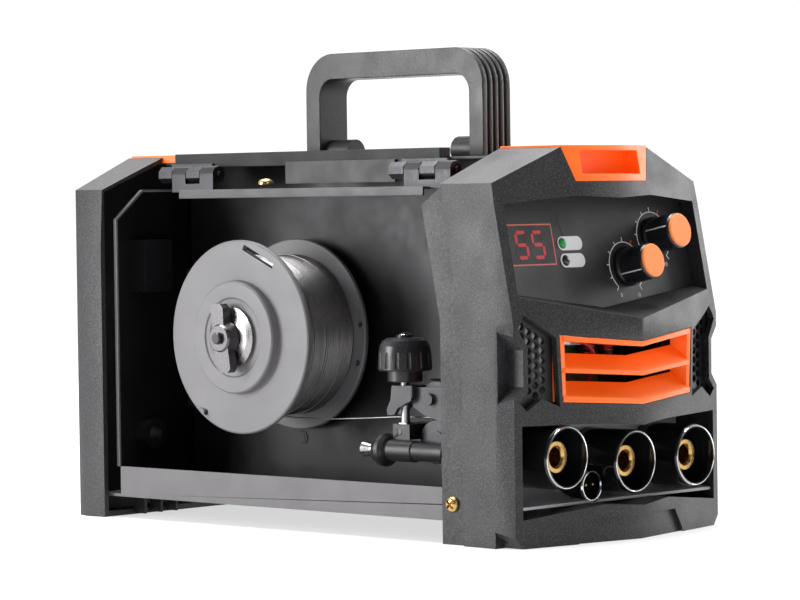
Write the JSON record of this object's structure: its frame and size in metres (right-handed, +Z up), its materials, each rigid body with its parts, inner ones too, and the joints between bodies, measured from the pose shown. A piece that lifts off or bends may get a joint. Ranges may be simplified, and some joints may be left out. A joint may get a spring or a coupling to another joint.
{
  "type": "mig welding machine",
  "caption": "Compact wire-feed welding machine with a top carry handle, prow-shaped front with display and dials, output sockets, and an open side showing the wire spool and feeder.",
  "frame": {"origin": "on the floor, under the middle of the case's bounding box", "axes": "+Z up, -Y out of the front face with its control panel, -X out of the open wire compartment, +X towards the plain side"},
  "size_m": [0.16, 0.332, 0.242],
  "materials": {
    "charcoal_plastic": "fine moulded texture",
    "grey_plastic": "fine moulded texture",
    "orange_plastic": "satin",
    "black_plastic": "semi-gloss",
    "black_sheet": "fine powder coat",
    "grey_sheet": "smooth satin",
    "zinc_steel": "bright zinc plate",
    "dark_steel": "blackened",
    "chrome": "polished",
    "aluminium": "brushed",
    "brass": "turned",
    "yellow_zinc": "plated screws",
    "copper": "enamelled winding",
    "ferrite": "matt",
    "board": "circuit board",
    "window": "tinted",
    "lamp_lens": "clear",
    "wire": "drawn wire"
  },
  "bodies": {
    "case": {"base_tray": "grey_sheet", "main_cover": "black_sheet", "top_rail": "grey_sheet", "hinge_rail": "grey_sheet", "hinge_backing_plate": "black_sheet", "hinge_fixed_leaves": "dark_steel", "hinge_pins": "dark_steel", "carry_handle": "black_plastic", "handle_lugs": "black_plastic", "divider_plate": "zinc_steel", "spool_axle": "black_plastic", "spool_washer": "chrome", "feeder_frame": "black_plastic", "feeder_motor": "zinc_steel", "inlet_guide": "black_plastic", "inlet_nozzle": "chrome", "outlet_tube": "brass", "feed_wire": "wire", "socket_panel": "grey_sheet", "socket_collars": "black_plastic", "socket_contacts": "brass", "gun_connector_shell": "chrome", "gun_connector_core": "black_plastic", "control_panel": "charcoal_plastic", "display_window": "window", "indicator_lamps": "lamp_lens", "potentiometers": "zinc_steel", "front_bezel": "charcoal_plastic", "front_insert": "orange_plastic", "front_grille": "orange_plastic", "side_vents": "black_plastic", "rear_bezel": "charcoal_plastic", "rear_insert": "orange_plastic", "rear_panel": "black_sheet", "fan_frame": "black_plastic", "fan_guard": "zinc_steel", "switch_housing": "black_plastic", "cord_gland": "black_plastic", "circuit_board": "board", "heatsinks": "aluminium", "transformer_core": "ferrite", "transformer_coil": "copper", "capacitors": "black_plastic", "case_screws": "yellow_zinc"},
    "spool": {"spool": "grey_plastic", "wire_winding": "wire"},
    "wing_nut": {"wing_nut": "chrome"},
    "drive_roll": {"drive_roll": "zinc_steel"},
    "pressure_arm": {"pressure_arm": "black_plastic"},
    "pressure_roll": {"pressure_roll": "zinc_steel"},
    "tension_post": {"tension_post": "zinc_steel"},
    "tension_knob": {"tension_knob": "black_plastic"},
    "rear_door_leaf": {"rear_door_leaf": "dark_steel"},
    "front_door_leaf": {"front_door_leaf": "dark_steel"},
    "left_dial": {"left_dial": "black_plastic", "left_dial_cap": "orange_plastic"},
    "right_dial": {"right_dial": "black_plastic", "right_dial_cap": "orange_plastic"},
    "fan_rotor": {"fan_rotor": "black_plastic"},
    "power_rocker": {"power_rocker": "black_plastic"}
  },
  "joints": [
    {"name": "spool_spin", "type": "hinge", "parent": "case", "child": "spool", "pos_m": [-0.04, 0.0525, 0.096], "axis": [1, 0, 0], "continuous": true},
    {"name": "wing_nut_turn", "type": "hinge", "parent": "case", "child": "wing_nut", "pos_m": [-0.071, 0.0525, 0.096], "axis": [1, 0, 0], "continuous": true},
    {"name": "drive_roll_spin", "type": "hinge", "parent": "case", "child": "drive_roll", "pos_m": [-0.036, -0.066, 0.0455], "axis": [1, 0, 0], "continuous": true},
    {"name": "tension_post_swing", "type": "hinge", "parent": "case", "child": "tension_post", "pos_m": [-0.042, -0.0475, 0.05], "axis": [1, 0, 0], "range_deg": [-45, 0]},
    {"name": "pressure_arm_lift", "type": "hinge", "parent": "case", "child": "pressure_arm", "pos_m": [-0.045, -0.088, 0.066], "axis": [1, 0, 0], "range_deg": [0, 4.5]},
    {"name": "tension_knob_turn", "type": "hinge", "parent": "tension_post", "child": "tension_knob", "pos_m": [-0.042, -0.0475, 0.086], "axis": [0, 0, 1], "continuous": true},
    {"name": "pressure_roll_spin", "type": "hinge", "parent": "pressure_arm", "child": "pressure_roll", "pos_m": [-0.036, -0.066, 0.0668], "axis": [1, 0, 0], "continuous": true},
    {"name": "left_dial_turn", "type": "hinge", "parent": "case", "child": "left_dial", "pos_m": [0.0216, -0.1382, 0.131], "axis": [0, -0.9806, 0.1961], "range_deg": [-140, 140]},
    {"name": "right_dial_turn", "type": "hinge", "parent": "case", "child": "right_dial", "pos_m": [0.0466, -0.1353, 0.1455], "axis": [0, -0.9806, 0.1961], "range_deg": [-140, 140]},
    {"name": "fan_spin", "type": "hinge", "parent": "case", "child": "fan_rotor", "pos_m": [0.0336, 0.14, 0.092], "axis": [0, 1, 0], "continuous": true},
    {"name": "rocker_tilt", "type": "hinge", "parent": "case", "child": "power_rocker", "pos_m": [-0.036, 0.15, 0.132], "axis": [1, 0, 0], "range_deg": [-14, 0]},
    {"name": "rear_leaf_swing", "type": "hinge", "parent": "case", "child": "rear_door_leaf", "pos_m": [-0.045, 0.1022, 0.1802], "axis": [0, 1, 0], "range_deg": [0, 100]},
    {"name": "front_leaf_swing", "type": "hinge", "parent": "case", "child": "front_door_leaf", "pos_m": [-0.045, -0.0654, 0.1802], "axis": [0, 1, 0], "range_deg": [0, 100]}
  ],
  "couplings": [
    {"joint": "pressure_arm_lift", "follows": "tension_post_swing", "ratio": -0.1}
  ]
}
